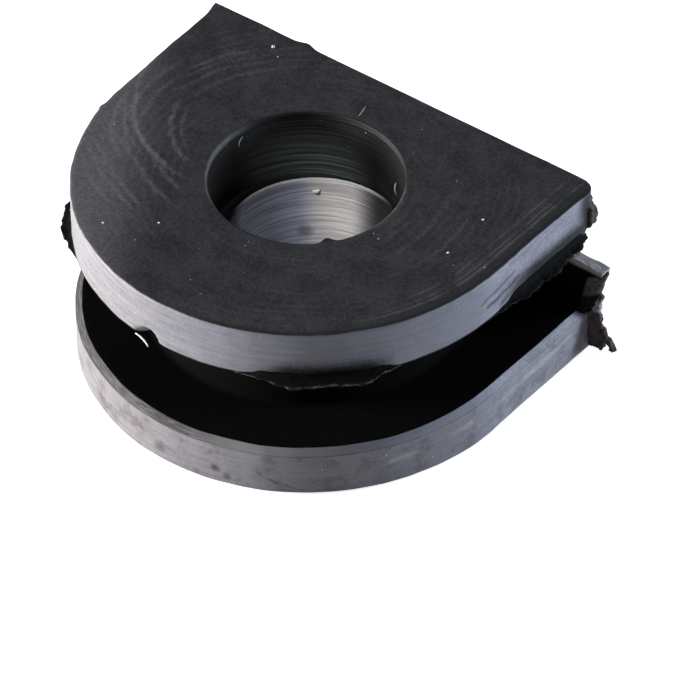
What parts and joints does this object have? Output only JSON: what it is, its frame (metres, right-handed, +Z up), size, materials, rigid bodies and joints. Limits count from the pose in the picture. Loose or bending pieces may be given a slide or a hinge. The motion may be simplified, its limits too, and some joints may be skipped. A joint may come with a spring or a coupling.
{
  "type": "rubber bushing",
  "caption": "One-piece moulded rubber bushing with a D-shaped outline, an open groove between flanges for a slotted panel, and a stepped through bore.",
  "frame": {"origin": "axis of the round front at the bottom face, 0.35 mm from the lower bore's axis", "axes": "+Z up through the bore, +Y out of the flat face, -Y towards the round front"},
  "size_m": [0.0218, 0.0169, 0.0089],
  "materials": {
    "black_rubber": "matte moulded rubber with faint tool marks and slightly glossy rims"
  },
  "bodies": {
    "root": {"bushing": "black_rubber"}
  },
  "joints": []
}
